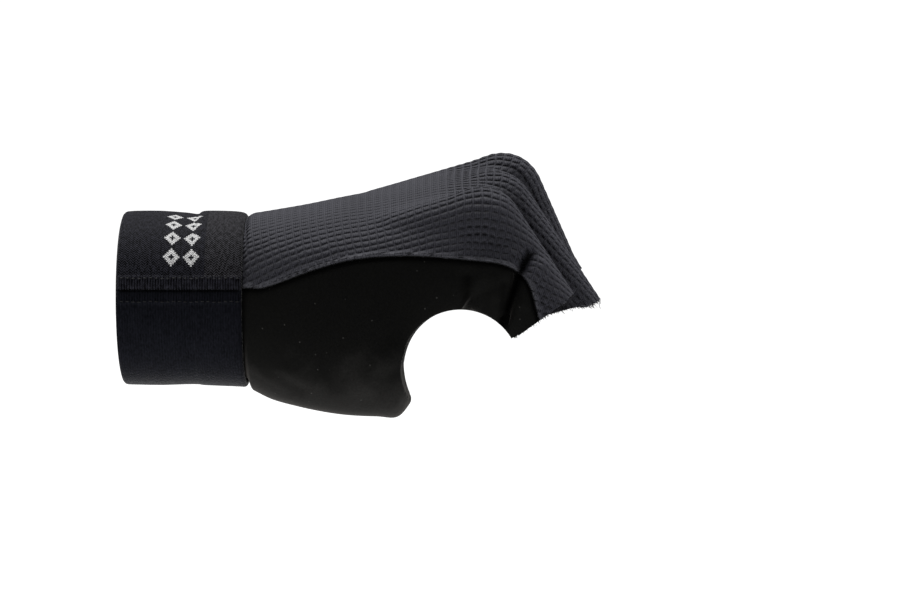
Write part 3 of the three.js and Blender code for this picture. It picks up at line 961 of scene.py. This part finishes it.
for edge, at, turns in ((edges[1][0], 26, 1.0), (edges[3][0], 32, -1.0)):
    path = []
    for t in np.linspace(0, 1, 12):
        curl = np.array([math.cos(4 * t * turns), 0.6 * math.sin(5 * t), math.sin(4 * t * turns)])
        path.append(edge[at] + loose_way * (loose_length * t - 0.5) + curl * loose_curl * t)
    paths.append(path)
    sizes.append(loose_size)
# The ends are loose filaments of the knit's own yarn, as dark and as dull as the knit.
knit_yarn, tree, shader = new_material("polyester_yarn_ends_charcoal")
set_inputs(tree, shader, {"Base Color": "#2c2b2c", "Roughness": 0.8, "Specular IOR Level": 0.1})
yarn_ends = strands("raw_edge_yarn_ends", paths, sizes)
dress_extra(yarn_ends, knit_yarn)

# The cuff: a wide band of doubled knitted elastic, made of a back half and a palm half that are sewn
# together along both sides. Each half's edge is turned under and stitched down beside the seam.
opening_width, opening_depth = 66, 50
cuff_wall = 2
cuff_seam_height = 1.9
turned_width, turned_rise, turned_foot, turned_top = 3.7, 0.55, 0.4, 0.2
seam_depth, seam_width = 1.0, 0.45
rib_pitch, rib_rise, palm_rib_share = 0.72, 0.08, 0.3
ring_step, lining_step = 0.21, 1.5
# Rows: at (share of the length), wide (share of the opening's width), up and down (shares of its depth).
cuff_outline = [
    (0, 1, 0.975, 0.998), (0.1, 1.004, 0.985, 1.002), (0.3, 1, 0.985, 1.006), (0.5, 0.985, 0.965, 0.998),
    (0.6, 0.975, 0.95, 0.998), (0.66, 0.996, 0.985, 1.008), (0.9, 1.004, 0.98, 1.022), (1, 0.99, 0.955, 1.03),
]
cuff_rows = smooth_rows(cuff_outline, 20)


def cuff_ring(x, inset, count=460):
    share = np.clip(x / cuff_length, 0, 1)
    wide, up, down = [np.interp(share, cuff_rows[:, 0], cuff_rows[:, i]) for i in (1, 2, 3)]
    if inset == cuff_wall:
        wide, up, down = 1, 1, 1
    wide = wide * opening_width / 2 - inset
    up, down = [share * opening_depth / 2 - inset for share in (up, down)]
    return section_ring(x, 0, 0, (up, up), (wide, wide), (down, down), 0, wrist_sharpness, count)


def cuff_relief(ring, x):
    off_seam = np.abs(ring[:, 2] - cuff_seam_height)
    turned = set_in(-off_seam, -turned_width - turned_foot, -turned_width + turned_top)
    groove = np.exp(-((off_seam / seam_width) ** 2))
    ribbed = np.maximum(turned, palm_rib_share * (ring[:, 2] < cuff_seam_height))
    rib = rib_rise * math.cos(2 * math.pi * x / rib_pitch)
    return turned_rise * turned - seam_depth * groove + rib * ribbed


edge_radius = cuff_wall / 2
rings = []
for x in np.arange(edge_radius, cuff_length - edge_radius, ring_step):
    ring = cuff_ring(x, 0)
    outward = ring * (0, 1, 1)
    outward = outward / np.linalg.norm(outward, axis=1)[:, None]
    rings.append(ring + outward * cuff_relief(ring, x)[:, None])
for turn in np.linspace(0, math.pi, 7)[1:-1]:
    x = cuff_length - edge_radius + edge_radius * math.sin(turn)
    rings.append(cuff_ring(x, edge_radius - edge_radius * math.cos(turn)))
for x in np.arange(cuff_length - edge_radius, edge_radius, -lining_step):
    rings.append(cuff_ring(x, cuff_wall))
for turn in np.linspace(0, math.pi, 7)[1:-1]:
    x = edge_radius - edge_radius * math.sin(turn)
    rings.append(cuff_ring(x, edge_radius + edge_radius * math.cos(turn)))
cuff = shell("cuff_form", rings, ends=False)
# Inside the cuff the pattern's place is moved away, so that the white figure shows outside only.
lining_shift, lining_inside = 200, 0.95


def cuff_half(name, upper):
    """One half of the cuff, cut at the height of its side seams."""
    piece = copied(cuff, name)
    pick(piece)
    bpy.ops.object.mode_set(mode="EDIT")
    bpy.ops.mesh.select_all(action="SELECT")
    seam = (0, 0, cuff_seam_height * MM)
    bpy.ops.mesh.bisect(
        plane_co=seam, plane_no=(0, 0, 1), use_fill=True, clear_inner=upper, clear_outer=not upper
    )
    bpy.ops.object.mode_set(mode="OBJECT")
    points = places(piece)
    around = np.arctan2(points[:, 2], points[:, 1]) * (opening_width + opening_depth) / 4
    across = np.abs(points[:, 1]) / (opening_width / 2 - edge_radius)
    upward = np.abs(points[:, 2]) / (opening_depth / 2 - edge_radius)
    around += lining_shift * (across**wrist_sharpness + upward**wrist_sharpness < lining_inside)
    set_uv(piece, np.stack([points[:, 0], around], axis=1))
    return piece


# The back half is a fine twill. It carries a small knitted-in pattern of white diamonds, and its last
# stretch, past patch_start, is a little greyer. Pattern lengths run along the cuff and around it.
patch_start = 24.6
motif_step = (0.5, 0.6)
motif_start, motif_cell, motif_count = (12.5, 57.6), (5.5, 6.6), (2, 4)
motif_middle = 5 / 11  # the middle of a diamond that is eleven stitches wide, as a share of its cell
diamond_size, diamond_hole = 0.4, 0.16
# The twill is taken to be black polyester over rubber thread. Its fine slanting lines catch some grey light.
# Their spacing can't be read either: 0.7 mm, turning every 0.8 mm, is as coarse as they need to be to show.
twill_column, twill_pitch, twill_height, yarn_place = 0.0008, 0.0007, 0.00006, (0.0006, 0.0016)
twill_elastic, tree, shader = new_material("knitted_elastic_twill_black")
cloth = add_node(tree, "UVMap", uv_map="cloth").outputs[0]
axes = add_node(tree, "SeparateXYZ", {0: cloth})
column = add_node(tree, "Math", {0: axes.outputs[0], 1: twill_column}, operation="PINGPONG")
slant = add_node(tree, "Math", {0: axes.outputs[1], 1: 1.0, 2: column}, operation="MULTIPLY_ADD")
line = thread_wave(tree, slant, twill_pitch)
yarns = add_node(tree, "Mapping", {0: cloth, 3: (1 / yarn_place[0], 1 / yarn_place[1], 1)})
noise = add_node(tree, "TexNoise", {"Vector": yarns, "Scale": 1.0, "Detail": 2.0})
rough = add_node(tree, "MapRange", {0: noise, 1: 0.32, 2: 0.68})
shade = add_node(tree, "Math", {0: line, 1: 0.55, 2: rough}, operation="MULTIPLY_ADD", use_clamp=True)
black = add_node(tree, "Mix", {0: shade, 6: "#000001", 7: "#33333b"}, data_type="RGBA")
grey = add_node(tree, "Mix", {0: shade, 6: "#020202", 7: "#434247"}, data_type="RGBA")
past = add_node(tree, "Math", {0: axes.outputs[0], 1: patch_start * MM}, operation="GREATER_THAN")
woven = add_node(tree, "Mix", {0: past, 6: black, 7: grey}, data_type="RGBA")
place = add_node(tree, "TexCoord").outputs["Object"]
place_axes = add_node(tree, "SeparateXYZ", {0: place})
turned_edge = (cuff_seam_height + turned_width) * MM
turned = add_node(tree, "Math", {0: place_axes.outputs[2], 1: turned_edge}, operation="LESS_THAN")
rib_line = thread_wave(tree, axes.outputs[0], rib_pitch * MM)
rib_shade = add_node(tree, "Math", {0: rib_line, 1: 0.5, 2: rough}, operation="MULTIPLY_ADD", use_clamp=True)
ribbed = add_node(tree, "Mix", {0: rib_shade, 6: "#08080b", 7: "#303038"}, data_type="RGBA")
tone = add_node(tree, "Mix", {0: turned, 6: woven, 7: ribbed}, data_type="RGBA")
stitches = add_node(
    tree, "VectorMath", {0: cloth, 1: (motif_step[0] * MM, motif_step[1] * MM, 1)}, operation="SNAP"
)
shift = (-motif_start[0] * MM, -motif_start[1] * MM, 0)
placed = add_node(tree, "VectorMath", {0: stitches, 1: shift}, operation="ADD")
scale = (1 / (motif_cell[0] * MM), 1 / (motif_cell[1] * MM), 0)
cell = add_node(tree, "VectorMath", {0: placed, 1: scale}, operation="MULTIPLY")
inner_place = add_node(tree, "VectorMath", {0: cell}, operation="FRACTION")
from_middle = add_node(
    tree, "VectorMath", {0: inner_place, 1: (motif_middle, motif_middle, 0)}, operation="SUBTRACT"
)
size = add_node(tree, "VectorMath", {0: from_middle}, operation="ABSOLUTE")
reach = add_node(tree, "VectorMath", {0: size, 1: (1, 1, 0)}, operation="DOT_PRODUCT")
diamond = add_node(tree, "Math", {0: reach.outputs["Value"], 1: diamond_size}, operation="LESS_THAN")
centre = add_node(tree, "Math", {0: reach.outputs["Value"], 1: diamond_hole}, operation="GREATER_THAN")
cell_axes = add_node(tree, "SeparateXYZ", {0: cell})
columns, rows = motif_count
in_width = add_node(
    tree, "Math", {0: cell_axes.outputs[0], 1: columns / 2, 2: columns / 2}, operation="COMPARE"
)
in_height = add_node(tree, "Math", {0: cell_axes.outputs[1], 1: rows / 2, 2: rows / 2}, operation="COMPARE")
field = add_node(tree, "Math", {0: in_width, 1: in_height}, operation="MULTIPLY")
figure = add_node(tree, "Math", {0: diamond, 1: centre}, operation="MULTIPLY")
white_part = add_node(tree, "Math", {0: figure, 1: field}, operation="MULTIPLY")
white = add_node(tree, "Mix", {0: shade, 6: "#b8b8b8", 7: "#ffffff"}, data_type="RGBA")
both = add_node(tree, "Mix", {0: white_part, 6: tone, 7: white}, data_type="RGBA")
weave = add_node(tree, "Bump", {"Height": line, "Strength": 1.0, "Distance": twill_height})
elastic_sheen = {"Roughness": 0.85, "Sheen Weight": 0.22, "Sheen Roughness": 0.25}
twill_surface = {"Base Color": both, "Normal": weave, "Specular IOR Level": 0.06}
set_inputs(tree, shader, {**twill_surface, **elastic_sheen})
cuff_back = cuff_half("cuff_twill_half", True)
dress(cuff_back, twill_elastic, "cuff_twill_elastic", "cuff_back_band")

# The palm half is a plain rib knit of the same elastic. It is bluer and darker than the twill, and its ribs
# hardly show but on the turned edge beside the seam.
face_grain, rib_cloud, rib_face_height = (0.0004, 0.0012, 0.0012), 0.005, 0.00015
rib_elastic, tree, shader = new_material("knitted_elastic_rib_blue_black")
cloth = add_node(tree, "UVMap", uv_map="cloth").outputs[0]
axes = add_node(tree, "SeparateXYZ", {0: cloth})
line = thread_wave(tree, axes.outputs[0], rib_pitch * MM)
place = add_node(tree, "TexCoord").outputs["Object"]
yarns = add_node(tree, "Mapping", {0: place, 3: [1 / size for size in face_grain]})
noise = add_node(tree, "TexNoise", {"Vector": yarns, "Scale": 1.0, "Detail": 2.0})
rough = add_node(tree, "MapRange", {0: noise, 1: 0.32, 2: 0.68})
cloud = add_node(tree, "TexNoise", {"Vector": place, "Scale": 1 / rib_cloud, "Detail": 3.0})
spread = add_node(tree, "Mix", {0: 0.4, 2: rough, 3: cloud}, data_type="FLOAT")
place_axes = add_node(tree, "SeparateXYZ", {0: place})
turned_edge = (cuff_seam_height - turned_width) * MM
turned = add_node(tree, "Math", {0: place_axes.outputs[2], 1: turned_edge}, operation="GREATER_THAN")
strength = add_node(tree, "Math", {0: turned, 1: 0.12, 2: 0.13}, operation="MULTIPLY_ADD")
shade = add_node(tree, "Math", {0: line, 1: strength, 2: spread}, operation="MULTIPLY_ADD", use_clamp=True)
tone = add_node(tree, "Mix", {0: shade, 6: "#050609", 7: "#1b1c23"}, data_type="RGBA")
knit_face = add_node(tree, "Bump", {"Height": rough, "Strength": 0.7, "Distance": rib_face_height})
rib_surface = {"Base Color": tone, "Normal": knit_face, "Specular IOR Level": 0.04}
set_inputs(tree, shader, {**rib_surface, **elastic_sheen})
cuff_palm = cuff_half("cuff_rib_half", False)
dress(cuff_palm, rib_elastic, "cuff_rib_elastic", "cuff_palm_band")

# The cuff's sewing: a row of lockstitches along each turned edge, on both sides. Each stitch is an arch of
# thread that dips into the cloth at both ends, and the rows wander a little.
stitch_pitch, stitch_length, thread_size = 1.6, 1.15, 0.14
stitch_margin, stitch_sink, stitch_rise, row_wander = 1.2, 0.18, 0.34, 0.12
stitch_rows = (cuff_seam_height + turned_width - 0.5, cuff_seam_height - turned_width + 0.4)
paths = []
for height in stitch_rows:
    for side in (-1, 1):
        for start in np.arange(stitch_margin, cuff_length - stitch_margin, stitch_pitch):
            path = []
            for t in np.linspace(0, 1, 6):
                ring = cuff_ring(start + t * stitch_length, 0)
                half = ring[ring[:, 1] * side > 0]
                order = np.argsort(half[:, 2])
                y = np.interp(height, half[order, 2], half[order, 1])
                arch = turned_rise - stitch_sink + stitch_rise * math.sin(math.pi * t)
                z = height + row_wander * math.sin(start * 7)
                path.append((start + t * stitch_length, y + side * arch, z))
            paths.append(path)
# The thread is twisted polyester, black and smoother than the knits, so that it has a slight gloss.
thread, tree, shader = new_material("polyester_thread_black")
set_inputs(tree, shader, {"Base Color": "#111114", "Roughness": 0.55, "Specular IOR Level": 0.3})
cuff_stitches = strands("cuff_stitches", paths, [thread_size] * len(paths))
dress_extra(cuff_stitches, thread)

# The forms that the panels were cut from and with are thrown away.
discard(outer, inner, knit, pattern, pattern_limit, cuff, palm_region, thumb_region)

# The setting: a plain pale floor well below the glove, which is held up, and soft studio light.
floor_height, floor_width, floor_depth, floor_front = -0.16, 80, 60, -0.6
bpy.ops.object.select_all(action="DESELECT")
bpy.ops.mesh.primitive_grid_add(x_subdivisions=4, y_subdivisions=4, size=1, location=(0, 0, 0))
floor = bpy.context.object
floor.name = "floor"
for corner in floor.data.vertices:
    corner.co.x *= floor_width
    corner.co.y = (corner.co.y + 0.5) * floor_depth + floor_front
    corner.co.z = floor_height
# The floor is flat emulsion on a board: white, with no gloss at all.
paint, tree, shader = new_material("matt_white_floor")
set_inputs(tree, shader, {"Base Color": "#f8f8f8", "Roughness": 1.0})
floor.data.materials.append(paint)

# The world looks white to the camera and is dim to the glove, so that the overhead light shapes it.
world = bpy.data.worlds.new("studio")
bpy.context.scene.world = world
world.use_nodes = True
tree = world.node_tree
seen = add_node(tree, "LightPath").outputs["Is Camera Ray"]
light_strength, seen_strength = 0.12, 1.1
strength = add_node(tree, "Mix", {0: seen, 2: light_strength, 3: seen_strength}, data_type="FLOAT")
set_inputs(tree, tree.nodes["Background"], {"Color": (1, 1, 1, 1), "Strength": strength})


# One wide, soft light from overhead and a little behind.
glove_middle, lamp_place = Vector((0.07, 0, 0.01)), Vector((0.0, 0.3, 1.0))
light = bpy.data.lights.new("overhead", "SUN")
light.energy = 4.0
light.angle = math.radians(45)
lamp = bpy.data.objects.new("overhead", light)
bpy.context.scene.collection.objects.link(lamp)
lamp.location = lamp_place
lamp.rotation_euler = (glove_middle - lamp_place).to_track_quat("-Z", "Y").to_euler()

# The camera looks level and square to the little finger's side, from about a metre away. Its place and its
# lens give the photograph's framing.
camera_place, camera_lens = (0.09486, -1.1, -0.0023), 151.48
camera_data = bpy.data.cameras.new("camera")
camera = bpy.data.objects.new("camera", camera_data)
bpy.context.scene.collection.objects.link(camera)
camera.location = camera_place
camera.rotation_euler = (math.pi / 2, 0, 0)
camera_data.sensor_width = 36
camera_data.lens = camera_lens
camera_data.clip_start = 0.05
bpy.context.scene.camera = camera
bpy.context.scene.view_settings.view_transform = "Standard"
